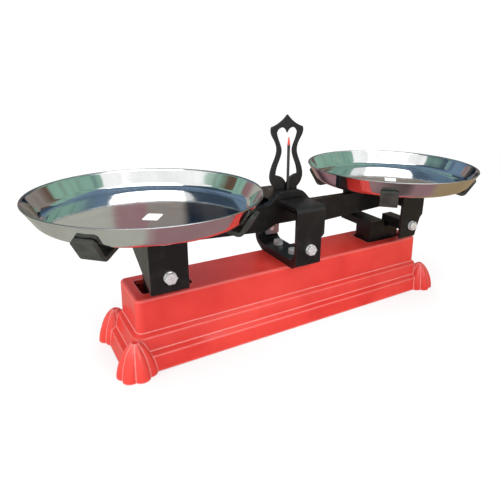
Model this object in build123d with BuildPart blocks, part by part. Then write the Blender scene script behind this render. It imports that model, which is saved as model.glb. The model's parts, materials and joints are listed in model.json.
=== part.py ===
from build123d import *
from math import atan, cos, degrees, pi, radians, sin, tan
import os

os.makedirs("parts", exist_ok=True)

# Counter balance with two lift-off pans. Millimetres, Z up, X along the beam, front towards -Y.
# The origin is the middle of the base on the table.

# Driving dimensions of the base casting
base_width = 62.0
base_height = 73.0
slot_land = 10.5
box_corner = 6.0
box_edge = 2.5
casting_wall = 5.0
skirt_height = 0.8
box_draft = 1.0
upper_nose_top = 37.3
upper_nose_bottom = 33.5
upper_nose_out = 5.5
lower_nose_top = 20.5
lower_nose_foot = 9.0
lower_nose_bottom = 16.8
lower_nose_out = 14.5
skirt_out = 18.0
nose_round = 1.6

# Shell feet
foot_height = 36.0
foot_radius = 20.0
foot_notch = 0.85
foot_lobes = 7
foot_set_in = (6.0, 8.0)
foot_curve = 1.6
foot_sections = (0.0, 8.0, 16.0, 24.0, 31.0, 34.5)

# Lever system
arm = 164.0
pivot_rise = 56.0
stay_drop = 37.0

# Running clearances
bearing_gap = 0.10
pin_gap = 0.10
slip_gap = 0.40
slot_gap = 4.5
slot_outer_gap = 9.5
slot_corner = 4.0
cut_over = 1.0

# Beam
beam_thickness = 9.0
beam_rise = 11.5
beam_end_rise = 8.0
beam_end_drop = 11.0
beam_step_drop = 12.5
beam_drop = 19.0
beam_arch_drop = 11.7
arch_half = 20.0
arch_foot = 36.0
beam_overhang = 11.0
beam_end_round = 8.0
taper_start = 67.0
taper_end = 45.0
step_inset = 13.0
hump_rise = 26.0
hump_flat = 11.0
hump_foot = 34.0

# Knife edges and their bearings
knife_half_width = 4.0
knife_height = 8.0
knife_half_angle = 32.0
knife_end_play = 0.8
vee_half_angle = 50.0
vee_depth = 3.6
plate_width = 20.0
plate_thickness = 6.0
plate_foot = 7.4
plate_relief = 5.5
plate_roof = 8.0
plate_window_gap = 2.2

# Brackets, bent or cast, around the beam
leg_thickness = 4.0
leg_width = 38.0
leg_inner = 43.0
lip_rise = 17.3
lip_bend = 6.0
front_lip_edge = 8.0
rear_lip_edge = 9.6
rear_leg_left = 19.0
rear_leg_right = 10.0
shoulder_drop = 6.3
shoulder_length = 12.0
sill_thickness = 9.0
sill_corner = 13.0
front_bevel = (8.0, 5.0)
rear_bevel = (17.0, 9.0)
leg_step = 4.0
leg_step_drop = 17.0
bolt_rise = 23.0

# Zinc plated hexagon bolts
bolt_diameter = 6.0
bolt_across_flats = 11.0
bolt_head_height = 4.2
bolt_hole_gap = 0.3
washer_diameter = 12.5
washer_thickness = 1.2

# Pan carriers
carrier_leg_gap = 10.5
carrier_bolt_rise = 26.0
rear_bolt_drop = 17.0
right_leg_cut = 7.0
left_leg_cut = 0.0
flange_thickness = 3.0
flange_reach = 10.0
flange_drop = 18.0
right_inner = 42.0
left_inner = 30.0
rear_leg_outer = 16.0
hanger_half_width = 12.5
hanger_foot = 8.0
cross_depth = 9.0
stem_half_depth = 13.5
stem_drop = 9.0
stem_reach = 10.0
stem_shoulder_drop = 11.0
stem_half_width = 9.0
stem_tip = 11.0
lug_half_width = 8.0
lug_drop = 8.0
lug_rise = 5.0
lug_grip = 14.0
rear_grip = 10.0
bearing_foot = 8.0
frame_bend = 3.5
plate_corner = 2.5
stem_corner = 3.0

# Lower bar inside the base
stay_thickness = 6.0
stay_depth = 12.0
stay_pin = 6.0
stay_end = 9.0
fork_slot_rise = 14.0
fork_cheek = 5.0
fork_width = 22.0
fork_plate = 4.0
fork_plate_depth = 48.0
fork_plate_corner = 3.0
sill_bolt_y = 17.0
sill_bolt_x = -3.0

# Pan support spider
spider_thickness = 4.0
spider_width = 21.0
spider_hub = 26.0
spider_bend = 63.0
spider_bend_radius = 5.0
spider_drop = 9.0
spider_lug_rise = 13.7
spider_lug_round = 4.0
spider_screw_pitch = 22.0
screw_diameter = 5.0
screw_head = 9.0

# Pans
pan_radius = 112.5
pan_depth = 20.9
pan_flare = 12.5
pan_corner = 7.0
pan_sheet = 1.2
pan_bead = 1.1
pan_seat = 0.10
lug_seat = 0.45

# Lyre: half widths and heights above the lips of its outline and of its window
lyre_thickness = 3.0
lyre_front = 6.4
lyre_tip_rise = 94.7
lyre_ear_width = 20.8
lyre_ear_rise = 81.2
lyre_shoulder_width = 20.6
lyre_shoulder_rise = 73.2
lyre_arm_width = 15.8
lyre_arm_rise = 64.7
lyre_neck_width = 13.3
lyre_neck_rise = 54.7
lyre_belly_width = 22.2
lyre_belly_rise = 27.7
lyre_foot_width = 15.0
lyre_foot_rise = 10.7
heart_cusp_rise = 74.7
heart_width = 14.2
heart_rise = 80.6
heart_arm_width = 11.9
heart_arm_rise = 67.2
window_neck_width = 7.7
window_belly_width = 15.4
window_belly_rise = 26.0
window_foot_rise = 11.9

# Lyre's bracket and the pointer
bracket_left = -24.0
bracket_right = 15.0
bracket_depth = 15.0
bracket_height = 10.5
bracket_bolt_in = 5.0
lyre_screw_grip = 6.0
pointer_thickness = 1.5
pointer_rise = 87.0
pointer_foot_depth = 14.0
pointer_foot_drop = 1.5
pointer_foot_half = 5.0
pointer_half_width = 1.5
pointer_blunt = 0.3
pointer_point = 8.0
small_screw = 3.0
small_screw_head = 5.0
small_screw_rise = 2.0
screw_slot = 0.8
pointer_screw_grip = 5.0
lyre_screw_x = 9.0
lyre_screw_up = 4.0

# Heights and places that follow from them
pivot_height = base_height + pivot_rise
stay_height = base_height - stay_drop
slot_outer = arm + stem_reach + slot_outer_gap
base_half_length = slot_outer + slot_land
base_length = 2 * base_half_length
base_half_width = base_width / 2
beam_top = pivot_height + beam_rise
beam_bottom = pivot_height - beam_drop
hump_top = pivot_height + hump_rise
leg_outer = leg_inner + leg_thickness
lip_height = pivot_height + lip_rise
sill_top = base_height + sill_thickness
bolt_height = base_height + bolt_rise
step_height = pivot_height - leg_step_drop
carrier_bolt_height = base_height + carrier_bolt_rise
rear_bolt_height = pivot_height - rear_bolt_drop
carrier_leg_bottom = base_height + carrier_leg_gap
cross_top = carrier_bolt_height
cross_bottom = cross_top - cross_depth
cross_middle = cross_top - cross_depth / 2
pointer_tip = pivot_height + pointer_rise
pointer_foot = hump_top - pointer_foot_depth
pointer_foot_top = hump_top - pointer_foot_drop
hub_top = lip_height + spider_thickness
pan_base_height = hub_top + pan_seat
pan_rim_height = pan_base_height + pan_depth
pan_floor_radius = pan_radius - pan_flare
knife_half_length = leg_inner - knife_end_play
lyre_back = lyre_front + lyre_thickness
bracket_screw_y = lyre_back + bracket_depth - bracket_bolt_in
knife_slope = tan(radians(knife_half_angle))
vee_slope = tan(radians(vee_half_angle))


def save(piece, label):
    """Name a finished piece and write it to its own file."""
    piece.label = label
    export_step(piece, f"parts/{label}.step")


def rounded_section(height, outward, radius):
    """Horizontal section of the base at a height, offset outwards from the upper box."""
    with BuildSketch(Plane.XY.offset(height)) as section:
        RectangleRounded(base_length + 2 * outward, base_width + 2 * outward, radius)
    return section.sketch


def plinth(levels, inset, lift):
    """Stacked, tapered tiers between levels of (height, outward offset)."""
    for (low, low_out), (high, high_out) in zip(levels, levels[1:]):
        loft(
            sections=[
                rounded_section(low + lift, low_out - inset, box_corner + low_out),
                rounded_section(high + lift, high_out - inset, box_corner + high_out),
            ],
            ruled=True,
        )


def hexagon_bolt(length, washer=True):
    """Bolt along Z with its head above the seat at Z = 0 and its shank below."""
    seat = washer_thickness if washer else 0.0
    with BuildPart() as bolt:
        with BuildSketch(Plane.XY.offset(seat)):
            RegularPolygon(radius=bolt_across_flats / 2, side_count=6, major_radius=False)
        extrude(amount=bolt_head_height)
        chamfer(bolt.faces().sort_by(Axis.Z)[-1].edges(), length=0.6)
        with BuildSketch(Plane.XY.offset(-length)):
            Circle(bolt_diameter / 2)
        extrude(amount=length + seat)
        if washer:
            with BuildSketch(Plane.XY):
                Circle(washer_diameter / 2)
            extrude(amount=washer_thickness)
    return bolt.part


def cheese_screw(length):
    """Small slotted screw along Z with its head above the seat at Z = 0."""
    with BuildPart() as screw:
        Cylinder(small_screw_head / 2, small_screw_rise, align=(Align.CENTER, Align.CENTER, Align.MIN))
        with Locations((0, 0, small_screw_rise)):
            Box(small_screw_head + cut_over, screw_slot, small_screw_rise, mode=Mode.SUBTRACT)
        with BuildSketch(Plane.XY.offset(-length)):
            Circle(small_screw / 2)
        extrude(amount=length)
    return screw.part


def pan_screw(length, diameter, head):
    """Countersunk screw along Z with its flat head ending at Z = 0."""
    with BuildPart() as screw:
        with BuildSketch(Plane.XZ):
            with BuildLine():
                Polyline(
                    (0, 0), (head / 2, 0), (diameter / 2, -(head - diameter) / 2),
                    (diameter / 2, -length), (0, -length), close=True,
                )
            make_face()
        revolve(axis=Axis.Z)
    return screw.part


def side_plane(x, y, z, outward):
    """Plane whose normal points to -Y when outward is -1 and to +Y when it is 1."""
    return Plane(origin=(x, y, z), x_dir=(1, 0, 0), z_dir=(0, outward, 0))


# Base casting: hollow box on a stepped plinth, open below, with a slot for each stem
outer_levels = (
    (skirt_height, skirt_out),
    (lower_nose_bottom, lower_nose_out),
    (lower_nose_top, lower_nose_foot),
    (upper_nose_bottom, upper_nose_out),
    (upper_nose_top, box_draft),
    (base_height, 0.0),
)
inner_levels = (
    (skirt_height - casting_wall, skirt_out),
    (lower_nose_bottom - casting_wall, lower_nose_out),
    (upper_nose_bottom - casting_wall, upper_nose_out),
    (base_height - 2 * casting_wall, 0.0),
)
slot_width = 2 * (stem_half_depth + slot_gap)


def shell_section(height):
    """Closed scalloped outline of a foot at a height, one arc to each lobe."""
    reach = foot_radius * (1 - (height / foot_height) ** foot_curve) ** (1 / foot_curve)
    step = 2 * pi / foot_lobes
    with BuildSketch(Plane.XY.offset(height)) as outline:
        with BuildLine():
            for lobe in range(foot_lobes):
                middle = lobe * step
                ends = [
                    (foot_notch * reach * cos(middle + side * step / 2),
                     foot_notch * reach * sin(middle + side * step / 2))
                    for side in (-1, 1)
                ]
                ThreePointArc(ends[0], (reach * cos(middle), reach * sin(middle)), ends[1])
        make_face()
    return outline.sketch


with BuildPart() as shell_foot:
    loft(sections=[shell_section(height) for height in foot_sections])

foot_x = base_half_length + foot_set_in[0]
foot_y = base_half_width + foot_set_in[1]
with BuildPart() as feet:
    for side_x in (-1, 1):
        for side_y in (-1, 1):
            turn = degrees(atan(1.0)) * (2 - side_x) * side_y
            with Locations(Location((side_x * foot_x, side_y * foot_y, 0), (0, 0, turn))):
                add(shell_foot.part)

with BuildPart() as cavity:
    plinth(inner_levels, casting_wall, casting_wall)
    for side_x in (-1, 1):
        for side_y in (-1, 1):
            with Locations((side_x * foot_x, side_y * foot_y, foot_height / 2)):
                Cylinder(foot_radius, foot_height + 2 * casting_wall, mode=Mode.SUBTRACT)

with BuildPart() as base_casting:
    plinth(outer_levels, 0.0, 0.0)
    nose_edges = ShapeList()
    for nose in (lower_nose_bottom, upper_nose_bottom):
        nose_edges += base_casting.edges().filter_by_position(Axis.Z, nose - 0.1, nose + 0.1)
    fillet(nose_edges, radius=nose_round)
    fillet(base_casting.faces().sort_by(Axis.Z)[-1].edges(), radius=box_edge)
    add(feet.part)
    add(cavity.part, mode=Mode.SUBTRACT)
    with BuildSketch(Plane.XY.offset(base_height + cut_over)):
        for way, inner in ((-1, left_inner), (1, right_inner)):
            slot_inner = arm - inner - slot_gap
            with Locations((way * (slot_outer + slot_inner) / 2, 0)):
                RectangleRounded(slot_outer - slot_inner, slot_width, slot_corner)
    extrude(amount=-(2 * casting_wall + cut_over), mode=Mode.SUBTRACT)
    with Locations((sill_bolt_x, -sill_bolt_y, base_height), (sill_bolt_x, sill_bolt_y, base_height)):
        Hole(bolt_diameter / 2 + bolt_hole_gap, depth=3 * casting_wall)
save(base_casting.part, "base_casting")


# Centre stand: bent bracket with a sill on the base, two legs and two lips turned in on top
with BuildPart() as centre_stand:
    with BuildSketch(Plane.YZ):
        with BuildLine():
            Polyline(
                (-leg_outer, base_height + front_bevel[1]),
                (-leg_outer + front_bevel[0], base_height),
                (leg_outer - rear_bevel[0], base_height),
                (leg_outer, base_height + rear_bevel[1]),
                (leg_outer, lip_height), (rear_lip_edge, lip_height),
                (rear_lip_edge, lip_height - leg_thickness),
                (leg_inner, lip_height - leg_thickness), (leg_inner, sill_top),
                (-leg_inner, sill_top), (-leg_inner, lip_height - leg_thickness),
                (-front_lip_edge, lip_height - leg_thickness), (-front_lip_edge, lip_height),
                (-leg_outer, lip_height), close=True,
            )
        make_face()
    extrude(amount=leg_width / 2, both=True)
    along = centre_stand.edges().filter_by(Axis.X)
    sill_corners = along.filter_by_position(Axis.Z, sill_top - 0.1, sill_top + 0.1)
    fillet(sill_corners, radius=sill_corner)
    along = centre_stand.edges().filter_by(Axis.X)
    inner_bends = along.filter_by_position(
        Axis.Z, lip_height - leg_thickness - 0.1, lip_height - leg_thickness + 0.1
    ).group_by(Axis.Y)
    fillet(inner_bends[0] + inner_bends[-1], radius=lip_bend - leg_thickness)
    along = centre_stand.edges().filter_by(Axis.X)
    outer_bends = along.filter_by_position(
        Axis.Z, lip_height - 0.1, lip_height + 0.1
    ).group_by(Axis.Y)
    fillet(outer_bends[0] + outer_bends[-1], radius=lip_bend)
    shoulder = lip_height - shoulder_drop
    with BuildSketch(Plane.XZ.offset(-leg_outer - cut_over)):
        for way, edge in ((-1, rear_leg_left), (1, rear_leg_right)):
            with BuildLine():
                Polyline(
                    (way * edge, base_height - cut_over), (way * leg_width, base_height - cut_over),
                    (way * leg_width, shoulder), (way * leg_width / 2, shoulder),
                    (way * edge, shoulder - shoulder_length), close=True,
                )
            make_face()
    extrude(amount=leg_outer + cut_over - rear_lip_edge, mode=Mode.SUBTRACT)
    with BuildSketch(Plane.XZ.offset(leg_outer + cut_over)):
        with BuildLine():
            Polyline(
                (leg_width / 2 - leg_step, base_height - cut_over),
                (leg_width, base_height - cut_over), (leg_width, step_height),
                (leg_width / 2, step_height), (leg_width / 2 - leg_step, step_height - leg_step),
                close=True,
            )
        make_face()
    extrude(amount=-(leg_outer + leg_inner), mode=Mode.SUBTRACT)
    for outward in (-1, 1):
        with BuildSketch(side_plane(0, outward * (leg_outer + cut_over), bolt_height, outward)):
            Circle(bolt_diameter / 2 + bolt_hole_gap)
        extrude(amount=-(leg_thickness + 2 * cut_over), mode=Mode.SUBTRACT)
    for bolt_y in (-sill_bolt_y, sill_bolt_y):
        with Locations((sill_bolt_x, bolt_y, sill_top)):
            Hole(bolt_diameter / 2 + bolt_hole_gap, depth=sill_thickness + cut_over)
    with Locations((0, bracket_screw_y, lip_height)):
        Hole(small_screw / 2, depth=leg_thickness)
save(centre_stand.part, "centre_stand")


# Fulcrum bearings: plates with an open vee, bolted inside the legs
def bearing_blank(x, low, high, inner, outer):
    """Flat plate in the XZ plane between two depths, with rounded corners."""
    with BuildPart() as blank:
        with BuildSketch(Plane.XZ.offset(-outer)):
            with Locations((x, (low + high) / 2)):
                RectangleRounded(plate_width, high - low, plate_corner)
        extrude(amount=outer - inner)
    return blank.part


plate_inner = leg_inner - plate_thickness
vee_floor = pivot_height - bearing_gap
vee_top = vee_floor + vee_depth
with BuildPart() as front_fulcrum:
    add(bearing_blank(0, bolt_height - plate_foot, vee_top, -leg_inner, -plate_inner))
    vee_cut = vee_depth + cut_over
    with BuildSketch(Plane.XZ.offset(leg_inner + cut_over)):
        with BuildLine():
            Polyline(
                (0, vee_floor), (vee_cut * vee_slope, vee_floor + vee_cut),
                (-vee_cut * vee_slope, vee_floor + vee_cut), close=True,
            )
        make_face()
    extrude(amount=-(plate_thickness + 2 * cut_over), mode=Mode.SUBTRACT)
    with BuildSketch(side_plane(0, -(leg_inner + cut_over), bolt_height, -1)):
        Circle(bolt_diameter / 2)
    extrude(amount=-(plate_thickness + 2 * cut_over), mode=Mode.SUBTRACT)
    plate_bottom = bolt_height - plate_foot
    relief = plate_relief + cut_over
    with BuildSketch(Plane.YZ.offset(-plate_width)):
        with BuildLine():
            Polyline(
                (-leg_inner - cut_over, plate_bottom - cut_over),
                (-leg_inner + relief, plate_bottom - cut_over),
                (-leg_inner - cut_over, plate_bottom + relief), close=True,
            )
        make_face()
    extrude(amount=2 * plate_width, mode=Mode.SUBTRACT)
with BuildPart() as fulcrum_bearings:
    add(front_fulcrum.part)
    mirror(front_fulcrum.part, about=Plane.XZ)
save(fulcrum_bearings.part, "fulcrum_bearings")

bolt_reach = leg_thickness + plate_thickness
with BuildPart() as stand_bolts:
    for outward in (-1, 1):
        with Locations(side_plane(0, outward * leg_outer, bolt_height, outward)):
            add(hexagon_bolt(bolt_reach))
save(stand_bolts.part, "stand_bolts")

sill_bolt_length = sill_top - (base_height - casting_wall) + fork_plate
with BuildPart() as sill_bolts:
    for bolt_y in (-sill_bolt_y, sill_bolt_y):
        with Locations((sill_bolt_x, bolt_y, sill_top)):
            add(hexagon_bolt(sill_bolt_length))
save(sill_bolts.part, "sill_bolts")


# Beam: cast bar with a hump in the middle, arms that taper and rounded ends
def knife_profile(x, edge_up):
    """Closed outline of a knife edge in the XZ plane, with its edge on the pivot line."""
    way = -1 if edge_up else 1
    flank = knife_half_width / knife_slope
    with BuildLine() as outline:
        Polyline(
            (x, pivot_height), (x + knife_half_width, pivot_height + way * flank),
            (x + knife_half_width, pivot_height + way * knife_height),
            (x - knife_half_width, pivot_height + way * knife_height),
            (x - knife_half_width, pivot_height + way * flank), close=True,
        )
    return outline.line


def knife(x, edge_up):
    """Knife edge through the beam, resting at both ends in its bearings."""
    with BuildPart() as bar:
        with BuildSketch(Plane.XZ):
            with BuildLine():
                add(knife_profile(x, edge_up))
            make_face()
        extrude(amount=knife_half_length, both=True)
    return bar.part


knife_places = {"centre_knife": (0.0, False), "left_knife": (-arm, True), "right_knife": (arm, True)}
beam_end = arm + beam_overhang
pointer_back = beam_thickness / 2
pointer_screw_heights = (pointer_foot + small_screw, pointer_foot_top - small_screw)
with BuildPart() as beam_bar:
    with BuildSketch(Plane.XZ):
        with BuildLine():
            Line((0, hump_top), (hump_flat, hump_top))
            Spline(
                (hump_flat, hump_top), ((hump_flat + hump_foot) / 2, (hump_top + beam_top) / 2),
                (hump_foot, beam_top), tangents=((1, -0.1), (1, -0.1)),
            )
            Polyline(
                (hump_foot, beam_top), (arm - taper_start, beam_top),
                (arm - taper_end, pivot_height + beam_end_rise),
                (beam_end, pivot_height + beam_end_rise), (beam_end, pivot_height - beam_end_drop),
                (arm - step_inset, pivot_height - beam_step_drop), (arch_foot, beam_bottom),
                (arch_half, pivot_height - beam_arch_drop), (0, pivot_height - beam_arch_drop),
                (0, hump_top),
            )
        make_face()
        mirror(about=Plane.YZ)
    extrude(amount=beam_thickness / 2, both=True)
    tips = beam_bar.edges().filter_by(Axis.Y).group_by(Axis.X)
    fillet(tips[0] + tips[-1], radius=beam_end_round)
    for place, edge_up in knife_places.values():
        with BuildSketch(Plane.XZ.offset(-beam_thickness)):
            with BuildLine():
                add(knife_profile(place, edge_up))
            make_face()
        extrude(amount=2 * beam_thickness, mode=Mode.SUBTRACT)
    with BuildSketch(Plane.XZ.offset(-beam_thickness / 2)):
        with Locations((0, (pointer_foot + hump_top + cut_over) / 2)):
            Rectangle(2 * pointer_foot_half, hump_top + cut_over - pointer_foot)
    extrude(amount=pointer_thickness, mode=Mode.SUBTRACT)
    for height in pointer_screw_heights:
        with BuildSketch(side_plane(0, pointer_back, height, 1)):
            Circle(small_screw / 2)
        extrude(amount=-(pointer_thickness + pointer_screw_grip), mode=Mode.SUBTRACT)
save(beam_bar.part, "beam_bar")
for knife_name, (place, edge_up) in knife_places.items():
    save(knife(place, edge_up), knife_name)

# Pointer: flat needle let into the back of the hump
with BuildPart() as pointer:
    with BuildSketch(Plane.XZ.offset(-pointer_back)):
        with Locations((0, (pointer_foot + pointer_foot_top) / 2)):
            Rectangle(2 * pointer_foot_half, pointer_foot_top - pointer_foot)
        with BuildLine():
            Polyline(
                (-pointer_half_width, pointer_foot_top), (pointer_half_width, pointer_foot_top),
                (pointer_half_width, pointer_tip - pointer_point), (pointer_blunt, pointer_tip),
                (-pointer_blunt, pointer_tip), (-pointer_half_width, pointer_tip - pointer_point),
                close=True,
            )
        make_face()
    extrude(amount=pointer_thickness)
    for height in pointer_screw_heights:
        with Locations(side_plane(0, pointer_back, height, 1)):
            CounterSinkHole(small_screw / 2, small_screw_head / 2, depth=pointer_thickness)
save(pointer.part, "pointer")

with BuildPart() as pointer_screws:
    for height in pointer_screw_heights:
        with Locations(side_plane(0, pointer_back, height, 1)):
            add(pan_screw(pointer_thickness + pointer_screw_grip, small_screw, small_screw_head))
save(pointer_screws.part, "pointer_screws")


# Lyre: open frame round the pointer, screwed to a bracket on the rear lip
lyre_plane = Plane(origin=(0, lyre_front, lip_height), x_dir=(1, 0, 0), z_dir=(0, -1, 0))
swell = (lyre_neck_width + lyre_belly_width) / 2
swell_rise = (lyre_neck_rise + lyre_belly_rise) / 2
window_swell = (window_neck_width + window_belly_width) / 2
with BuildPart() as lyre_frame:
    with BuildSketch(lyre_plane):
        with BuildLine():
            ThreePointArc(
                (0, lyre_tip_rise),
                (lyre_ear_width / 2, (lyre_tip_rise + 2 * lyre_ear_rise) / 3),
                (lyre_ear_width, lyre_ear_rise),
            )
            Spline(
                (lyre_ear_width, lyre_ear_rise), (lyre_shoulder_width, lyre_shoulder_rise),
                (lyre_arm_width, lyre_arm_rise), (lyre_neck_width, lyre_neck_rise),
                (swell, swell_rise), (lyre_belly_width, lyre_belly_rise),
                (lyre_foot_width, lyre_foot_rise),
            )
            Polyline((lyre_foot_width, lyre_foot_rise), (lyre_foot_width, 0), (0, 0), (0, lyre_tip_rise))
        make_face()
        mirror(about=Plane.YZ)
    extrude(amount=-lyre_thickness)
    with BuildSketch(lyre_plane):
        with BuildLine():
            ThreePointArc((0, heart_cusp_rise), (heart_width / 2, heart_rise), (heart_width, heart_cusp_rise))
            Spline(
                (heart_width, heart_cusp_rise), (heart_arm_width, heart_arm_rise),
                (window_neck_width, lyre_neck_rise), (window_swell, swell_rise),
                (window_belly_width, window_belly_rise),
            )
            RadiusArc(
                (window_belly_width, window_belly_rise), (0, window_foot_rise), -window_belly_width
            )
            Line((0, window_foot_rise), (0, heart_cusp_rise))
        make_face()
        mirror(about=Plane.YZ)
    extrude(amount=-lyre_thickness, mode=Mode.SUBTRACT)
    for screw_x in (-lyre_screw_x, lyre_screw_x):
        with Locations(side_plane(screw_x, lyre_front, lip_height + lyre_screw_up, -1)):
            CounterSinkHole(small_screw / 2, small_screw_head / 2, depth=lyre_thickness)
save(lyre_frame.part, "lyre_frame")

with BuildPart() as lyre_bracket:
    with BuildSketch(Plane.XY.offset(lip_height)):
        with Locations(((bracket_left + bracket_right) / 2, lyre_back + bracket_depth / 2)):
            Rectangle(bracket_right - bracket_left, bracket_depth)
    extrude(amount=bracket_height)
    fillet(lyre_bracket.faces().sort_by(Axis.Z)[-1].edges(), radius=1.2)
    with BuildSketch(Plane.XZ.offset(-lyre_back)):
        for screw_x in (-lyre_screw_x, lyre_screw_x):
            with Locations((screw_x, lip_height + lyre_screw_up)):
                Circle(small_screw / 2)
    extrude(amount=-lyre_screw_grip, mode=Mode.SUBTRACT)
    with Locations((0, bracket_screw_y, lip_height + bracket_height)):
        Hole(small_screw / 2, depth=bracket_height)
save(lyre_bracket.part, "lyre_bracket")

with BuildPart() as lyre_screws:
    for screw_x in (-lyre_screw_x, lyre_screw_x):
        with Locations(side_plane(screw_x, lyre_front, lip_height + lyre_screw_up, -1)):
            add(pan_screw(lyre_thickness + lyre_screw_grip, small_screw, small_screw_head))
    with Locations((0, bracket_screw_y, lip_height + bracket_height)):
        add(cheese_screw(bracket_height + leg_thickness))
save(lyre_screws.part, "lyre_screws")


# Stay bracket: fork under the top of the base, held by the sill bolts
ceiling = base_height - casting_wall
fork_gap = stay_thickness / 2 + slip_gap
with BuildPart() as stay_bracket:
    with BuildSketch(Plane.XY.offset(ceiling - fork_plate)):
        with Locations((sill_bolt_x / 2, 0)):
            RectangleRounded(fork_width + abs(sill_bolt_x), fork_plate_depth, fork_plate_corner)
    extrude(amount=fork_plate)
    for way in (-1, 1):
        with BuildSketch(Plane.XZ.offset(-way * (fork_gap + fork_cheek / 2))):
            with BuildLine():
                tongue = Polyline(
                    (-stay_end, stay_height), (-fork_width / 2, ceiling - fork_plate),
                    (fork_width / 2, ceiling - fork_plate), (stay_end, stay_height),
                )
                ThreePointArc(tongue @ 1, (0, stay_height - stay_end), tongue @ 0)
            make_face()
        extrude(amount=fork_cheek / 2, both=True)
    with BuildSketch(Plane.XZ):
        with Locations((0, stay_height)):
            Circle(stay_pin / 2)
    extrude(amount=fork_gap + fork_cheek + cut_over, both=True, mode=Mode.SUBTRACT)
    with Locations(
        (sill_bolt_x, -sill_bolt_y, ceiling), (sill_bolt_x, sill_bolt_y, ceiling)
    ):
        Hole(bolt_diameter / 2, depth=fork_plate)
save(stay_bracket.part, "stay_bracket")

with BuildPart() as stay_centre_pin:
    with Locations(Location((0, 0, stay_height), (90, 0, 0))):
        Cylinder(stay_pin / 2, 2 * (fork_gap + fork_cheek))
save(stay_centre_pin.part, "stay_centre_pin")


# Lower bar, which keeps the two stems upright as the beam tilts
with BuildPart() as stay_bar:
    with BuildSketch(Plane.XZ):
        with Locations((0, stay_height)):
            SlotCenterToCenter(2 * arm, stay_depth)
            for pin_x in (-arm, arm):
                with Locations((pin_x, 0)):
                    Circle(stay_end)
            Circle(stay_end)
            for pin_x in (-arm, arm):
                with Locations((pin_x, 0)):
                    Circle(stay_pin / 2, mode=Mode.SUBTRACT)
            Circle(stay_pin / 2 + pin_gap, mode=Mode.SUBTRACT)
    extrude(amount=stay_thickness / 2, both=True)
save(stay_bar.part, "stay_bar")

with BuildPart() as stay_end_pins:
    for pin_x in (-arm, arm):
        with Locations(Location((pin_x, 0, stay_height), (90, 0, 0))):
            Cylinder(stay_pin / 2, 2 * stem_half_depth - fork_gap)
save(stay_end_pins.part, "stay_end_pins")


# Carrier frame: leg in front of the beam's end, top plate, rear leg further in, rear hanger
frame_outer = arm + leg_width / 2


def carrier_frame(inner, leg_cut):
    """Frame on the right, with its rear leg's inner edge and the taper of its front leg's foot."""
    frame_inner = arm - inner
    step = leg_step if leg_cut else 0.0
    flange_foot = step_height if leg_cut else carrier_leg_bottom
    with BuildPart() as frame:
        with BuildSketch(Plane.XY.offset(lip_height - leg_thickness)):
            with BuildLine():
                Polyline(
                    (arm - leg_width / 2, -leg_outer), (frame_outer, -leg_outer),
                    (frame_outer, leg_outer), (frame_inner, leg_outer), (frame_inner, -front_lip_edge),
                    (arm - leg_width / 2, -2 * front_lip_edge), close=True,
                )
            make_face()
        extrude(amount=leg_thickness)
        with BuildSketch(Plane.XZ.offset(leg_inner)):
            with BuildLine():
                Polyline(
                    (arm - leg_width / 2, carrier_leg_bottom), (arm - leg_width / 2, lip_height),
                    (frame_outer, lip_height), (frame_outer, step_height),
                    (frame_outer - step, step_height - leg_step),
                    (frame_outer - step - leg_cut, carrier_leg_bottom), close=True,
                )
            make_face()
        extrude(amount=leg_thickness)
        with BuildSketch(Plane.XZ.offset(-leg_outer)):
            with Locations(((frame_inner + arm - rear_leg_outer) / 2, (cross_bottom + lip_height) / 2)):
                Rectangle(inner - rear_leg_outer, lip_height - cross_bottom)
            hanger_bottom = rear_bolt_height - hanger_foot
            with Locations((arm, (hanger_bottom + lip_height) / 2)):
                Rectangle(2 * hanger_half_width, lip_height - hanger_bottom)
        extrude(amount=leg_thickness)
        with BuildSketch(Plane.YZ.offset(frame_outer - flange_thickness)):
            with BuildLine():
                Polyline(
                    (-leg_outer, flange_foot), (flange_reach, pivot_height - flange_drop + leg_step),
                    (flange_reach, lip_height), (-leg_outer, lip_height), close=True,
                )
            make_face()
        extrude(amount=flange_thickness)
        bends = frame.edges().filter_by(Axis.X).filter_by_position(
            Axis.Z, lip_height - bearing_gap, lip_height + bearing_gap
        )
        fillet(bends, radius=frame_bend)
        for x, height, outward in (
            (arm, carrier_bolt_height, -1), (arm, rear_bolt_height, 1),
            (arm - (inner + rear_leg_outer) / 2, cross_middle, 1),
        ):
            with BuildSketch(side_plane(x, outward * (leg_outer + cut_over), height, outward)):
                Circle(bolt_diameter / 2 + bolt_hole_gap)
            extrude(amount=-(leg_thickness + 2 * cut_over), mode=Mode.SUBTRACT)
        for screw_y in (-spider_screw_pitch / 2, spider_screw_pitch / 2):
            with Locations((arm, screw_y, lip_height)):
                Hole(screw_diameter / 2, depth=leg_thickness)
    return frame.part


# Bearings of the carriers: plates with a window whose roof rests on the end knife
roof = pivot_height + bearing_gap
window_half = knife_half_width + plate_window_gap
window_floor = pivot_height - knife_height - plate_window_gap


def carrier_bearing(low, bolt, outward):
    """Bearing plate on the inner side of a leg, bolted below the knife's window."""
    plate_middle = outward * (leg_inner - plate_thickness / 2)
    with BuildPart() as plate:
        with BuildSketch(Plane.XZ.offset(-plate_middle)):
            with Locations((arm, (low + roof + plate_roof) / 2)):
                RectangleRounded(plate_width, roof + plate_roof - low, plate_corner)
        extrude(amount=plate_thickness / 2, both=True)
        with BuildSketch(Plane.XZ.offset(-plate_middle)):
            with BuildLine():
                shoulder = roof - window_half / vee_slope
                Polyline(
                    (arm, roof), (arm + window_half, shoulder), (arm + window_half, window_floor),
                    (arm - window_half, window_floor), (arm - window_half, shoulder), close=True,
                )
            make_face()
            with Locations((arm, bolt)):
                Circle(bolt_diameter / 2)
        extrude(amount=plate_thickness, both=True, mode=Mode.SUBTRACT)
    return plate.part


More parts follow.
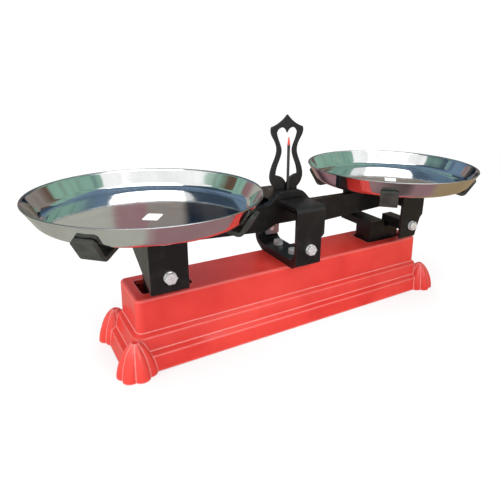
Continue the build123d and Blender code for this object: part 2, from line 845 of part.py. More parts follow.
with BuildPart() as right_bearings:
    add(carrier_bearing(carrier_bolt_height - plate_foot, carrier_bolt_height, -1))
    add(carrier_bearing(rear_bolt_height - bearing_foot, rear_bolt_height, 1))

# Stem: block bolted between the legs, with a tongue that goes down through the slot
def carrier_stem(inner):
    """Stem on the right, with its block's inner edge."""
    left = arm - inner
    right = arm + stem_reach
    stem_top = carrier_bolt_height - stem_drop
    shoulder = base_height - stem_shoulder_drop
    tip = stay_height - stem_tip
    lug_bottom = carrier_bolt_height - lug_drop
    lug_top = carrier_bolt_height + lug_rise
    with BuildPart() as stem:
        with BuildSketch(Plane.XZ):
            with BuildLine():
                Polyline(
                    (left, cross_top), (arm - rear_leg_outer, cross_top),
                    (arm - rear_leg_outer, stem_top), (right, stem_top), (right, shoulder),
                    (arm + stem_half_width, shoulder - stem_reach + stem_half_width),
                    (arm + stem_half_width, tip), (arm - stem_half_width, tip),
                    (arm - stem_half_width, shoulder - inner / 2), (left, shoulder), close=True,
                )
            make_face()
        extrude(amount=stem_half_depth, both=True)
        with BuildSketch(Plane.YZ.offset(left)):
            with Locations(((stem_half_depth + leg_inner) / 2, cross_middle)):
                Rectangle(leg_inner - stem_half_depth, cross_depth)
        extrude(amount=inner - rear_leg_outer)
        with BuildSketch(Plane.XZ.offset(plate_inner)):
            with Locations((arm, (lug_bottom + lug_top) / 2)):
                Rectangle(2 * lug_half_width, lug_top - lug_bottom)
        extrude(amount=-plate_inner)
        with BuildSketch(Plane.XZ.offset(plate_inner + cut_over)):
            with Locations((arm, carrier_bolt_height)):
                Circle(bolt_diameter / 2)
        extrude(amount=-(lug_grip + cut_over), mode=Mode.SUBTRACT)
        with BuildSketch(Plane.XZ.offset(-leg_inner - cut_over)):
            with Locations((arm - (inner + rear_leg_outer) / 2, cross_middle)):
                Circle(bolt_diameter / 2)
        extrude(amount=rear_grip + cut_over, mode=Mode.SUBTRACT)
        fork_top = stay_height + fork_slot_rise
        with BuildSketch(Plane.YZ.offset(left)):
            with Locations((0, (tip + fork_top - cut_over) / 2)):
                Rectangle(2 * fork_gap, fork_top - tip + cut_over)
        extrude(amount=inner + stem_reach, mode=Mode.SUBTRACT)
        with BuildSketch(Plane.XZ):
            with Locations((arm, stay_height)):
                Circle(stay_pin / 2 + pin_gap)
        extrude(amount=stem_half_depth + cut_over, both=True, mode=Mode.SUBTRACT)
        uprights = stem.edges().filter_by(Axis.Z).group_by(Axis.X)[0]
        fillet(uprights.group_by(Axis.Y)[0], radius=stem_corner)
    return stem.part


def carrier_bolts(inner):
    """Bolts of a carrier on the right: front leg, rear hanger and rear leg."""
    with BuildPart() as bolts:
        with Locations(side_plane(arm, -leg_outer, carrier_bolt_height, -1)):
            add(hexagon_bolt(bolt_reach + lug_grip))
        with Locations(side_plane(arm, leg_outer, rear_bolt_height, 1)):
            add(hexagon_bolt(bolt_reach))
        with Locations(side_plane(arm - (inner + rear_leg_outer) / 2, leg_outer, cross_middle, 1)):
            add(hexagon_bolt(leg_thickness + rear_grip, washer=False))
    return bolts.part


# Spider: hub on the carrier and four arms to the pan's rim, with upturned ends
wall_lean = atan((pan_radius - pan_floor_radius) / (pan_rim_height - pan_base_height))
hub_middle = hub_top - spider_thickness / 2
lug_gap = (spider_thickness / 2 + lug_seat) / cos(wall_lean)


def wall_radius(height):
    """Radius of the outside of the pan's wall at a height."""
    return pan_floor_radius + (height - pan_base_height) * tan(wall_lean)


lug_foot = hub_middle - spider_drop
lug_height = lip_height + spider_lug_rise
lug_radius = wall_radius(lug_height) + lug_gap
foot_reach = wall_radius(lug_foot) + lug_gap
with BuildPart() as right_spider:
    with Locations((arm, 0, hub_middle)):
        Cylinder(spider_hub, spider_thickness)
    for spread in (45, 135, 225, 315):
        radial = (cos(radians(spread)), sin(radians(spread)), 0)
        across = (sin(radians(spread)), -cos(radians(spread)), 0)
        with BuildSketch(Plane(origin=(arm, 0, 0), x_dir=radial, z_dir=across)):
            with BuildLine():
                FilletPolyline(
                    (spider_hub / 2, hub_middle), (spider_bend, hub_middle),
                    (foot_reach, lug_foot), (lug_radius, lug_height), radius=spider_bend_radius,
                )
            trace(line_width=spider_thickness)
        extrude(amount=spider_width / 2, both=True)
    lug_corners = [
        edge for edge in right_spider.edges()
        if abs(edge.length - spider_thickness) < slip_gap and edge.center().Z > hub_top
    ]
    fillet(lug_corners, radius=spider_lug_round)
    for screw_y in (-spider_screw_pitch / 2, spider_screw_pitch / 2):
        with Locations((arm, screw_y, hub_top)):
            CounterSinkHole(screw_diameter / 2, screw_head / 2, depth=spider_thickness)

with BuildPart() as right_spider_screws:
    for screw_y in (-spider_screw_pitch / 2, spider_screw_pitch / 2):
        with Locations((arm, screw_y, hub_top)):
            add(pan_screw(spider_thickness + leg_thickness, screw_diameter, screw_head))

# Pan: pressed sheet with a flat floor and a flared wall, which lifts off the spider
side_sheet = pan_sheet / cos(wall_lean)
with BuildPart() as right_pan:
    with BuildSketch(Plane.XZ):
        with BuildLine():
            FilletPolyline(
                (arm, pan_base_height), (arm + pan_floor_radius, pan_base_height),
                (arm + pan_radius, pan_rim_height), radius=pan_corner,
            )
            Line((arm + pan_radius, pan_rim_height), (arm + pan_radius - side_sheet, pan_rim_height))
            FilletPolyline(
                (arm + pan_radius - side_sheet, pan_rim_height),
                (arm + pan_floor_radius + pan_sheet * tan(wall_lean) - side_sheet,
                 pan_base_height + pan_sheet),
                (arm, pan_base_height + pan_sheet), radius=pan_corner - pan_sheet,
            )
            Line((arm, pan_base_height + pan_sheet), (arm, pan_base_height))
        make_face()
        with Locations((arm + pan_radius - side_sheet / 2, pan_rim_height)):
            Circle(pan_bead)
    revolve(axis=Axis((arm, 0, 0), (0, 0, 1)))

for name, inner, leg_cut in (("right", right_inner, right_leg_cut), ("left", left_inner, left_leg_cut)):
    pieces = {
        "frame": carrier_frame(inner, leg_cut),
        "stem": carrier_stem(inner),
        "bolts": carrier_bolts(inner),
        "bearings": right_bearings.part,
        "spider": right_spider.part,
        "spider_screws": right_spider_screws.part,
        "pan": right_pan.part,
    }
    for piece_name, piece in pieces.items():
        if name == "left":
            piece = mirror(piece, about=Plane.YZ)
        save(piece, name + "_" + piece_name)
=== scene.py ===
import json
import math

import bmesh
import bpy
from mathutils import Matrix, Vector


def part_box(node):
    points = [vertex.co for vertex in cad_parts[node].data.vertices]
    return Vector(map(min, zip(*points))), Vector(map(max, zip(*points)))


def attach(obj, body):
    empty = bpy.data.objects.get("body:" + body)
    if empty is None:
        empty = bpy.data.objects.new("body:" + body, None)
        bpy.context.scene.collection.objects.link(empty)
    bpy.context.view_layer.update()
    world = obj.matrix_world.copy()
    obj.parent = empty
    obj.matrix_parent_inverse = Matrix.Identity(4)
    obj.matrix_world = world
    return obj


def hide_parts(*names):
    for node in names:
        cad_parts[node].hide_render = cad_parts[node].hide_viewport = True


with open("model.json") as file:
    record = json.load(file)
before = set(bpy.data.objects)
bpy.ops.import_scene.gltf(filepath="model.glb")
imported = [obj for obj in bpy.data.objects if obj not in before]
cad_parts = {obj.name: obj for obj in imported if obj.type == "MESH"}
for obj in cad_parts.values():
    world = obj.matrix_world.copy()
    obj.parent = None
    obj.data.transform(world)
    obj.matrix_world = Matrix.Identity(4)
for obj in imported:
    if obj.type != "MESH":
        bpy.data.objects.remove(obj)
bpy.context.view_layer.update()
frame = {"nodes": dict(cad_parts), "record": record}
nodes = frame["nodes"]

MM = 0.001

# Camera fitted to the photograph's edges: angles in radians, lengths in metres, places in pixels
CAMERA_AZIMUTH = 0.587
CAMERA_ELEVATION = 0.335
CAMERA_ROLL = 0.030
CAMERA_DISTANCE = 560.11 * MM
CAMERA_TARGET = Vector((2.773 * MM, 0.0, 104.642 * MM))
IMAGE_SIZE = 500
FOCAL_PIXELS = 460.16
PRINCIPAL_POINT = (290, 230)
SENSOR_WIDTH = 36.0
CLIP_START = 0.01

# Colours, linear
WHITE = (1.0, 1.0, 1.0, 1.0)
RED = (0.72, 0.050, 0.036, 1.0)
RED_DEEP = (0.62, 0.030, 0.022, 1.0)
# Painted highlight colour for the red paint's edges
RED_EDGE_HIGHLIGHT = (0.90, 0.42, 0.40, 1.0)
RED_TIP = (0.62, 0.03, 0.03, 1.0)
RED_TIP_LIGHT = (0.75, 0.10, 0.08, 1.0)
BLACK = (0.0075, 0.0070, 0.0070, 1.0)
BLACK_WORN = (0.017, 0.015, 0.014, 1.0)
# Painted highlight colour for the black paint's edges
BLACK_EDGE_HIGHLIGHT = (0.10, 0.095, 0.09, 1.0)
MATT_BLACK = (0.030, 0.032, 0.028, 1.0)
MATT_WORN = (0.050, 0.052, 0.046, 1.0)
BRONZE = (0.085, 0.066, 0.052, 1.0)
ZINC = (0.92, 0.93, 0.92, 1.0)
ZINC_DULL = (0.66, 0.67, 0.68, 1.0)
STEEL = (0.42, 0.42, 0.43, 1.0)
STEEL_DARK = (0.22, 0.22, 0.23, 1.0)
IRON = (0.075, 0.070, 0.066, 1.0)
IRON_LIGHT = (0.15, 0.14, 0.13, 1.0)
MIRROR = (0.80, 0.81, 0.81, 1.0)
MIRROR_GREY = (0.68, 0.69, 0.70, 1.0)
CUT_EDGE = (0.40, 0.40, 0.41, 1.0)
CUT_EDGE_DARK = (0.26, 0.26, 0.27, 1.0)
PAPER = (0.90, 0.90, 0.88, 1.0)
PAPER_SHADE = (0.78, 0.79, 0.77, 1.0)
FLOOR_SHADE = (0.93, 0.93, 0.93, 1.0)
FLOOR_PALE = (0.95, 0.95, 0.95, 1.0)

# Widths of the painted highlight lines along the edges, and of the rounding of the paint
RED_HIGHLIGHT_WIDTH = 1.9 * MM
RED_ROUNDING = 1.1 * MM
BLACK_HIGHLIGHT_WIDTH = 0.6 * MM
BLACK_ROUNDING = 0.6 * MM

# Heights between which the needle's paint turns from black to red
TIP_LOW = 207.0 * MM
TIP_HIGH = 208.0 * MM


class Shade:
    """A material whose node tree is made step by step from procedural nodes."""

    def __init__(self, name, roughness, metallic=0.0, coat=0.0, coat_roughness=0.03):
        self.material = bpy.data.materials.new(name)
        self.material.use_nodes = True
        self.tree = self.material.node_tree
        self.shader = self.tree.nodes["Principled BSDF"]
        self.set_input("Metallic", metallic)
        self.set_input("Roughness", roughness)
        self.set_input("Coat Weight", coat)
        self.set_input("Coat Roughness", coat_roughness)
        self.coordinates = self.node("ShaderNodeTexCoord").outputs["Object"]
        self.normal = None

    def set_input(self, socket, value):
        """Set a constant on the shader's own socket."""
        self.shader.inputs[socket].default_value = value

    def node(self, kind, **settings):
        made = self.tree.nodes.new(kind)
        for key, value in settings.items():
            setattr(made, key, value)
        return made

    def link(self, source, target):
        self.tree.links.new(source, target)

    def along(self, axis):
        """Coordinate along an axis of the shared frame, in metres."""
        split = self.node("ShaderNodeSeparateXYZ")
        self.link(self.coordinates, split.inputs["Vector"])
        return split.outputs[axis]

    def noise(self, scale, detail=4.0, stretch=None):
        """Noise in cells per metre, scaled along the axes if asked."""
        made = self.node("ShaderNodeTexNoise")
        made.inputs["Scale"].default_value = scale
        made.inputs["Detail"].default_value = detail
        made.inputs["Roughness"].default_value = 0.55
        self.link(self.mapped(stretch), made.inputs["Vector"])
        return made.outputs["Fac"]

    def mapped(self, stretch):
        """Coordinates that a texture reads."""
        if stretch is None:
            return self.coordinates
        mapping = self.node("ShaderNodeMapping")
        mapping.inputs["Scale"].default_value = stretch
        self.link(self.coordinates, mapping.inputs["Vector"])
        return mapping.outputs["Vector"]

    def ramp(self, source, low, high, top=1.0):
        """Signal that goes from 0 to top as the source goes from low to high."""
        made = self.node("ShaderNodeMapRange")
        made.inputs["From Min"].default_value = low
        made.inputs["From Max"].default_value = high
        made.inputs["To Max"].default_value = top
        self.link(source, made.inputs["Value"])
        return made.outputs["Result"]

    def colour(self, factor, first, second):
        """Mix of two colours, each a constant or a socket."""
        mix = self.node("ShaderNodeMix", data_type="RGBA")
        self.link(factor, mix.inputs["Factor"])
        for socket, value in (("A", first), ("B", second)):
            target = [s for s in mix.inputs if s.name == socket and s.type == "RGBA"][0]
            if isinstance(value, tuple):
                target.default_value = value
            else:
                self.link(value, target)
        return [s for s in mix.outputs if s.type == "RGBA"][0]

    def base(self, source):
        self.link(source, self.shader.inputs["Base Color"])

    def surface(self, source):
        """Show another shader in place of the principled one."""
        output = [node for node in self.tree.nodes if node.type == "OUTPUT_MATERIAL"][0]
        self.link(source, output.inputs["Surface"])

    def vary_roughness(self, factor, low, high):
        """Let the roughness follow a 0 to 1 signal."""
        made = self.node("ShaderNodeMapRange")
        made.inputs["To Min"].default_value = low
        made.inputs["To Max"].default_value = high
        self.link(factor, made.inputs["Value"])
        self.link(made.outputs["Result"], self.shader.inputs["Roughness"])

    def round_edges(self, radius):
        """Shade the edges as if the paint rounded them."""
        made = self.node("ShaderNodeBevel")
        made.inputs["Radius"].default_value = radius
        self.use_normal(made.outputs["Normal"])

    def edges(self, radius, low, high, top):
        """Mask of the edges, from how far a rounded normal leans from the true one."""
        rounded = self.node("ShaderNodeBevel")
        rounded.inputs["Radius"].default_value = radius
        true = self.node("ShaderNodeNewGeometry")
        lean = self.node("ShaderNodeVectorMath", operation="DISTANCE")
        self.link(rounded.outputs["Normal"], lean.inputs[0])
        self.link(true.outputs["Normal"], lean.inputs[1])
        return self.ramp(lean.outputs["Value"], low, high, top)

    def use_normal(self, normal):
        """Send a normal to the shader and to its coat, if it has one."""
        self.normal = normal
        self.link(normal, self.shader.inputs["Normal"])
        if self.shader.inputs["Coat Weight"].default_value > 0:
            self.link(normal, self.shader.inputs["Coat Normal"])

    def bump(self, height, distance, strength=1.0):
        """Bump of a depth in metres on top of the normal so far."""
        made = self.node("ShaderNodeBump")
        made.inputs["Strength"].default_value = strength
        made.inputs["Distance"].default_value = distance
        self.link(height, made.inputs["Height"])
        if self.normal is not None:
            self.link(self.normal, made.inputs["Normal"])
        self.use_normal(made.outputs["Normal"])


def red_enamel():
    """Gloss red with deeper patches, and painted highlight lines along the edges."""
    shade = Shade("red_enamel", 0.34, coat=0.30, coat_roughness=0.10)
    shade.set_input("Specular IOR Level", 0.25)
    patches = shade.ramp(shade.noise(14.0, detail=3.0), low=0.38, high=0.66)
    paint = shade.colour(patches, RED, RED_DEEP)
    # Painted highlight: the paint turns lighter along convex and concave edges alike, in place of
    # light caught by the rounded noses
    highlight_lines = shade.edges(RED_HIGHLIGHT_WIDTH, low=0.07, high=0.32, top=0.8)
    shade.base(shade.colour(highlight_lines, paint, RED_EDGE_HIGHLIGHT))
    shade.vary_roughness(shade.noise(60.0), low=0.26, high=0.42)
    shade.round_edges(RED_ROUNDING)
    shade.bump(shade.noise(26.0, detail=2.0), distance=0.0006, strength=0.5)
    shade.bump(shade.noise(900.0, detail=2.0), distance=0.00003, strength=0.5)
    return shade.material


def black_enamel():
    """Gloss black, a little worn, with grey painted highlight lines at the edges."""
    shade = Shade("black_enamel", 0.30, coat=0.16, coat_roughness=0.08)
    shade.set_input("Specular IOR Level", 0.25)
    worn = shade.ramp(shade.noise(80.0, detail=5.0), low=0.52, high=0.72)
    paint = shade.colour(worn, BLACK, BLACK_WORN)
    # Painted highlight: the paint turns grey along convex and concave edges alike, in place of
    # light caught by the edges
    highlight_lines = shade.edges(BLACK_HIGHLIGHT_WIDTH, low=0.15, high=0.6, top=0.6)
    shade.base(shade.colour(highlight_lines, paint, BLACK_EDGE_HIGHLIGHT))
    shade.vary_roughness(shade.noise(130.0), low=0.24, high=0.46)
    shade.round_edges(BLACK_ROUNDING)
    shade.bump(shade.noise(45.0, detail=3.0), distance=0.0004, strength=0.6)
    shade.bump(shade.noise(700.0, detail=3.0), distance=0.00004, strength=0.6)
    return shade.material


def matt_enamel():
    """Dull grey-black of the spiders."""
    shade = Shade("matt_enamel", 0.55)
    shade.set_input("Specular IOR Level", 0.35)
    worn = shade.ramp(shade.noise(90.0, detail=5.0), low=0.42, high=0.68)
    shade.base(shade.colour(worn, MATT_BLACK, MATT_WORN))
    shade.vary_roughness(shade.noise(160.0), low=0.48, high=0.66)
    shade.bump(shade.noise(500.0, detail=3.0), distance=0.00006, strength=0.6)
    return shade.material


def pointer_enamel():
    """Black needle with a red tip."""
    shade = Shade("pointer_enamel", 0.35, coat=0.3)
    tip = shade.ramp(shade.along("Z"), low=TIP_LOW, high=TIP_HIGH)
    black = shade.colour(shade.noise(150.0), BLACK, BLACK_WORN)
    red = shade.colour(shade.noise(200.0), RED_TIP, RED_TIP_LIGHT)
    shade.base(shade.colour(tip, black, red))
    return shade.material


def bronze_enamel():
    """Satin dark brown of the lyre's bracket."""
    shade = Shade("bronze_enamel", 0.5)
    shade.base(shade.colour(shade.noise(60.0, detail=5.0), BRONZE, BLACK_WORN))
    shade.bump(shade.noise(300.0), distance=0.0001)
    return shade.material


def zinc_plate():
    """Bright plate of the bolts and screws, with dull spots."""
    shade = Shade("zinc_plate", 0.30, metallic=0.6)
    spots = shade.ramp(shade.noise(500.0, detail=5.0), low=0.4, high=0.65)
    shade.base(shade.colour(spots, ZINC, ZINC_DULL))
    shade.vary_roughness(shade.noise(800.0, detail=3.0), low=0.22, high=0.42)
    shade.bump(shade.noise(1200.0, detail=3.0), distance=0.00003)
    return shade.material


def ground_steel():
    """Knives, bearings and pins, with fine grinding marks."""
    shade = Shade("ground_steel", 0.35, metallic=1.0)
    grain = shade.noise(300.0, detail=3.0, stretch=(1.0, 1.0, 12.0))
    shade.base(shade.colour(grain, STEEL, STEEL_DARK))
    shade.bump(grain, distance=0.00003)
    return shade.material


def rolled_steel():
    """Lower bar, with marks along its length."""
    shade = Shade("rolled_steel", 0.48, metallic=1.0)
    grain = shade.noise(120.0, detail=5.0, stretch=(0.2, 1.0, 4.0))
    shade.base(shade.colour(grain, STEEL_DARK, STEEL))
    shade.bump(grain, distance=0.00005)
    return shade.material


def bare_iron():
    """Rough casting of the bracket inside the base."""
    shade = Shade("bare_iron", 0.7, metallic=0.6)
    grain = shade.noise(420.0, detail=5.0)
    shade.base(shade.colour(grain, IRON, IRON_LIGHT))
    shade.bump(grain, distance=0.0003)
    return shade.material


def mirror_steel(name, centre_x):
    """Polished sheet with faint turned rings round the pan's middle."""
    shade = Shade(name, 0.05, metallic=1.0)
    haze = shade.ramp(shade.noise(30.0), low=0.35, high=0.75)
    shade.base(shade.colour(haze, MIRROR, MIRROR_GREY))
    shade.vary_roughness(shade.noise(90.0), low=0.035, high=0.10)
    centred = shade.node("ShaderNodeMapping")
    centred.inputs["Location"].default_value = (-centre_x, 0.0, 0.0)
    shade.link(shade.coordinates, centred.inputs["Vector"])
    rings = shade.node("ShaderNodeTexWave", wave_type="RINGS", rings_direction="Z")
    for socket, value in (("Scale", 900.0), ("Distortion", 3.0), ("Detail", 2.0)):
        rings.inputs[socket].default_value = value
    shade.link(centred.outputs["Vector"], rings.inputs["Vector"])
    shade.bump(rings.outputs["Fac"], distance=0.000002, strength=0.5)
    shade.bump(shade.noise(16.0, detail=2.0), distance=0.0005, strength=0.35)
    return shade.material


def cut_edge():
    """Edge of the sheet, which the polishing wheel leaves darker."""
    shade = Shade("cut_edge", 0.28, metallic=1.0)
    shade.base(shade.colour(shade.noise(60.0), CUT_EDGE, CUT_EDGE_DARK))
    shade.vary_roughness(shade.noise(90.0, detail=3.0), low=0.20, high=0.36)
    return shade.material


def paper():
    """White paper of the stickers."""
    shade = Shade("sticker_paper", 0.6)
    shade.base(shade.colour(shade.noise(400.0), PAPER, PAPER_SHADE))
    shade.bump(shade.noise(900.0, detail=3.0), distance=0.00002)
    return shade.material


def new_mesh(name, build):
    """Object whose mesh is made by build, which fills an empty bmesh."""
    mesh = bpy.data.meshes.new(name)
    work = bmesh.new()
    build(work)
    bmesh.ops.recalc_face_normals(work, faces=work.faces)
    work.to_mesh(mesh)
    work.free()
    made = bpy.data.objects.new(name, mesh)
    bpy.context.scene.collection.objects.link(made)
    return made


def smooth(piece, angle):
    """Shade smooth where faces meet at less than the angle, in degrees."""
    bpy.ops.object.select_all(action="DESELECT")
    piece.select_set(True)
    bpy.context.view_layer.objects.active = piece
    bpy.ops.object.shade_smooth_by_angle(angle=math.radians(angle))


# Pans: pressed sheet turned from its section, finer than the solid that it stands for
PAN_SEGMENTS = 256
PAN_SHEET = 1.2 * MM
PAN_EDGE = 0.75 * MM
PAN_FLOOR_RADIUS = 100.0 * MM
PAN_RADIUS = 112.5 * MM
PAN_CORNER = 13.0 * MM
PAN_CORNER_STEPS = 14
PAN_SMOOTH_ANGLE = 60.0

# Turn of the round edge in degrees, and places of the other rings as shares of the floor or wall
EDGE_STEPS = 12
EDGE_START = -60
EDGE_SWEEP = 300
FLOOR_RINGS = (0.25, 0.5, 0.75)
OUTER_WALL_RINGS = (0.5, 0.9, 0.96)
INNER_WALL_RINGS = (0.04, 0.1, 0.5)


def arc_between(first, corner, last, radius, steps):
    """Points of the arc that rounds a corner of a polyline."""
    into = (first - corner).normalized()
    out = (last - corner).normalized()
    half = into.angle(out) / 2
    reach = radius / math.tan(half)
    centre = corner + (into + out).normalized() * radius / math.sin(half)
    start = corner + into * reach - centre
    end = corner + out * reach - centre
    turn = start.angle(end)
    side = 1 if start.x * end.y - start.y * end.x > 0 else -1
    points = []
    for step in range(steps + 1):
        angle = side * turn * step / steps
        rotated = Vector((
            start.x * math.cos(angle) - start.y * math.sin(angle),
            start.x * math.sin(angle) + start.y * math.cos(angle),
        ))
        points.append(centre + rotated)
    return points


def pan_section(base, rim):
    """Section of the pan in radius and height: outside, round the edge, and back inside."""
    lean = math.atan((PAN_RADIUS - PAN_FLOOR_RADIUS) / (rim - base))
    side = PAN_SHEET / math.cos(lean)
    inner_foot = PAN_FLOOR_RADIUS + PAN_SHEET * math.tan(lean) - side
    outside = [Vector((0.0, base)), Vector((PAN_FLOOR_RADIUS, base)), Vector((PAN_RADIUS, rim))]
    inside = [
        Vector((PAN_RADIUS - side, rim)), Vector((inner_foot, base + PAN_SHEET)),
        Vector((0.0, base + PAN_SHEET)),
    ]
    outer = arc_between(*outside, PAN_CORNER, PAN_CORNER_STEPS)
    inner = arc_between(*inside, PAN_CORNER - PAN_SHEET, PAN_CORNER_STEPS)
    edge_centre = Vector((PAN_RADIUS - side / 2, rim))
    edge = []
    for step in range(EDGE_STEPS + 1):
        angle = math.radians(EDGE_START + EDGE_SWEEP * step / EDGE_STEPS) - lean
        edge.append(edge_centre + PAN_EDGE * Vector((math.cos(angle), math.sin(angle))))
    floor_radii = [PAN_FLOOR_RADIUS * share for share in FLOOR_RINGS]
    outer_floor = [Vector((radius, base)) for radius in floor_radii]
    inner_floor = [Vector((radius, base + PAN_SHEET)) for radius in reversed(floor_radii)]
    outer_wall = [outer[-1].lerp(outside[2], share) for share in OUTER_WALL_RINGS]
    inner_wall = [inside[0].lerp(inner[0], share) for share in INNER_WALL_RINGS]
    return outer_floor + outer + outer_wall + edge + inner_wall + inner + inner_floor


def make_pan(name, node, side):
    """Dish of polished sheet in the place of a pan's solid."""
    low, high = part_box(node)
    centre = (low.x + high.x) / 2
    rim = high.z - PAN_EDGE
    section = pan_section(low.z, rim)

    def build(work):
        bottom = work.verts.new((centre, 0.0, low.z))
        top = work.verts.new((centre, 0.0, low.z + PAN_SHEET))
        rings = []
        for point in section:
            ring = []
            for turn in range(PAN_SEGMENTS):
                angle = 2 * math.pi * turn / PAN_SEGMENTS
                ring.append(work.verts.new((
                    centre + point.x * math.cos(angle), point.x * math.sin(angle), point.y
                )))
            rings.append(ring)
        for first, second in zip(rings, rings[1:]):
            for turn in range(PAN_SEGMENTS):
                after = (turn + 1) % PAN_SEGMENTS
                work.faces.new((first[turn], first[after], second[after], second[turn]))
        for turn in range(PAN_SEGMENTS):
            after = (turn + 1) % PAN_SEGMENTS
            work.faces.new((bottom, rings[0][after], rings[0][turn]))
            work.faces.new((top, rings[-1][turn], rings[-1][after]))

    pan = new_mesh(name, build)
    smooth(pan, PAN_SMOOTH_ANGLE)
    pan.data.materials.append(mirror_steel(name + "_steel", centre))
    pan.data.materials.append(cut_edge())
    for face in pan.data.polygons:
        face.material_index = int(face.center.z > rim)
    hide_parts(node)
    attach(pan, side + "_pan_body")


STICKER_SIZE = (20.0 * MM, 15.0 * MM)
STICKER_THICK = 0.12 * MM
STICKER_CORNER = 1.0 * MM
STICKER_CORNER_STEPS = 4


def make_sticker(side, centre, turn):
    """Bare white sticker on the floor of a pan."""
    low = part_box(side + "_pan")[0]
    middle = low.z + PAN_SHEET + STICKER_THICK / 2

    def build(work):
        made = bmesh.ops.create_cube(work, size=1.0)
        bmesh.ops.scale(work, vec=(*STICKER_SIZE, STICKER_THICK), verts=made["verts"])
        upright = [
            edge for edge in work.edges
            if abs(edge.verts[0].co.z - edge.verts[1].co.z) > STICKER_THICK / 2
        ]
        bmesh.ops.bevel(
            work, geom=upright, offset=STICKER_CORNER, segments=STICKER_CORNER_STEPS, affect="EDGES"
        )
        bmesh.ops.rotate(work, matrix=Matrix.Rotation(turn, 3, "Z"), verts=work.verts)
        bmesh.ops.translate(work, vec=(*centre, middle), verts=work.verts)

    sticker = new_mesh(side + "_sticker", build)
    sticker.data.materials.append(paper())
    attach(sticker, side + "_pan_body")


make_pan("left_dish", "left_pan", "left")
make_pan("right_dish", "right_pan", "right")
make_sticker("left", (-167.5 * MM, -17.2 * MM), math.radians(55))
make_sticker("right", (162.5 * MM, -2.5 * MM), math.radians(47))

# Finishes of the pieces that keep their solids
finishes = {
    "red_paint": red_enamel(),
    "black_paint": black_enamel(),
    "bronze_paint": bronze_enamel(),
    "zinc": zinc_plate(),
    "bearing_steel": ground_steel(),
    "raw_steel": rolled_steel(),
    "raw_iron": bare_iron(),
    "pan_steel": mirror_steel("pan_solid_steel", 0.0),
}
for part in frame["record"]["subparts"]:
    solid = nodes[part["node"]]
    solid.data.materials.clear()
    solid.data.materials.append(finishes[part["material_slot"]])
spider_paint = matt_enamel()
own_paints = {
    "pointer": pointer_enamel(), "left_spider": spider_paint, "right_spider": spider_paint,
}
for node, paint in own_paints.items():
    nodes[node].data.materials.clear()
    nodes[node].data.materials.append(paint)


# Studio: white floor, soft lamps, and a room of painted reflections that only shiny surfaces see,
# in metres
FLOOR_HALF = 6.0
FLOOR_LIT_SHARE = 0.30
FLOOR_NEAR = 0.55
FLOOR_FAR = 1.6
SOFT_LIGHT = 0.66
SEEN_LIGHT = 1.0
ROOM_HALF = 2.2
ROOM_SPLIT = 1.0
ROOM_TOP = 2.0
SKYLIGHT_HEIGHT = 1.9
TABLE_HEIGHT = 0.3 * MM


def seen_directly(tree):
    """1 for camera, glossy and transmission rays, else 0."""
    path = tree.nodes.new("ShaderNodeLightPath")
    seen = path.outputs["Is Camera Ray"]
    for kind in ("Is Glossy Ray", "Is Transmission Ray"):
        either = tree.nodes.new("ShaderNodeMath")
        either.operation = "MAXIMUM"
        tree.links.new(seen, either.inputs[0])
        tree.links.new(path.outputs[kind], either.inputs[1])
        seen = either.outputs[0]
    return seen


def mix_shaders(tree, factor, first, second):
    """First shader where the factor is 0, second where it is 1."""
    mix = tree.nodes.new("ShaderNodeMixShader")
    tree.links.new(factor, mix.inputs[0])
    tree.links.new(first, mix.inputs[1])
    tree.links.new(second, mix.inputs[2])
    return mix.outputs[0]


def make_floor():
    """Floor that keeps the object's shadow near the middle and is white further out."""
    def build(work):
        bmesh.ops.create_grid(work, x_segments=1, y_segments=1, size=FLOOR_HALF)

    floor = new_mesh("floor", build)
    shade = Shade("floor_white", 0.9)
    shade.base(shade.colour(shade.noise(3.0), FLOOR_SHADE, FLOOR_PALE))
    distance = shade.node("ShaderNodeVectorMath", operation="LENGTH")
    shade.link(shade.coordinates, distance.inputs[0])
    share = shade.node("ShaderNodeMapRange", interpolation_type="SMOOTHSTEP")
    share.inputs["From Min"].default_value = FLOOR_NEAR
    share.inputs["From Max"].default_value = FLOOR_FAR
    share.inputs["To Min"].default_value = 1.0 - FLOOR_LIT_SHARE
    shade.link(distance.outputs["Value"], share.inputs["Value"])
    factor = shade.node("ShaderNodeMath", operation="MULTIPLY")
    shade.link(share.outputs["Result"], factor.inputs[0])
    shade.link(seen_directly(shade.tree), factor.inputs[1])
    white = shade.node("ShaderNodeEmission")
    white.inputs["Color"].default_value = WHITE
    shade.surface(mix_shaders(
        shade.tree, factor.outputs[0], shade.shader.outputs["BSDF"], white.outputs["Emission"]
    ))
    floor.data.materials.append(shade.material)


def set_world():
    """White surroundings: softer as light on the object than where they are seen."""
    world = bpy.data.worlds.new("studio")
    bpy.context.scene.world = world
    world.use_nodes = True
    tree = world.node_tree
    tree.nodes.clear()
    output = tree.nodes.new("ShaderNodeOutputWorld")
    backgrounds = []
    for strength in (SOFT_LIGHT, SEEN_LIGHT):
        made = tree.nodes.new("ShaderNodeBackground")
        made.inputs["Color"].default_value = WHITE
        made.inputs["Strength"].default_value = strength
        backgrounds.append(made.outputs[0])
    tree.links.new(mix_shaders(tree, seen_directly(tree), *backgrounds), output.inputs["Surface"])


# Colours of the painted reflections that the room's glowing cards give the polished pans, linear
SKY_WHITE = (1.15, 1.15, 1.14, 1.0)
TEAL = (0.27, 0.46, 0.37, 1.0)
TEAL_PALE = (0.50, 0.66, 0.58, 1.0)
SLATE = (0.17, 0.26, 0.37, 1.0)
SLATE_DARK = (0.055, 0.085, 0.125, 1.0)
NAVY = (0.010, 0.017, 0.031, 1.0)
OLIVE = (0.17, 0.15, 0.085, 1.0)
UMBER = (0.13, 0.075, 0.055, 1.0)
BEIGE = (0.46, 0.46, 0.40, 1.0)
ROSE = (0.33, 0.18, 0.195, 1.0)
PLUM = (0.07, 0.035, 0.045, 1.0)
SAND = (0.37, 0.26, 0.14, 1.0)
TAUPE = (0.30, 0.26, 0.235, 1.0)


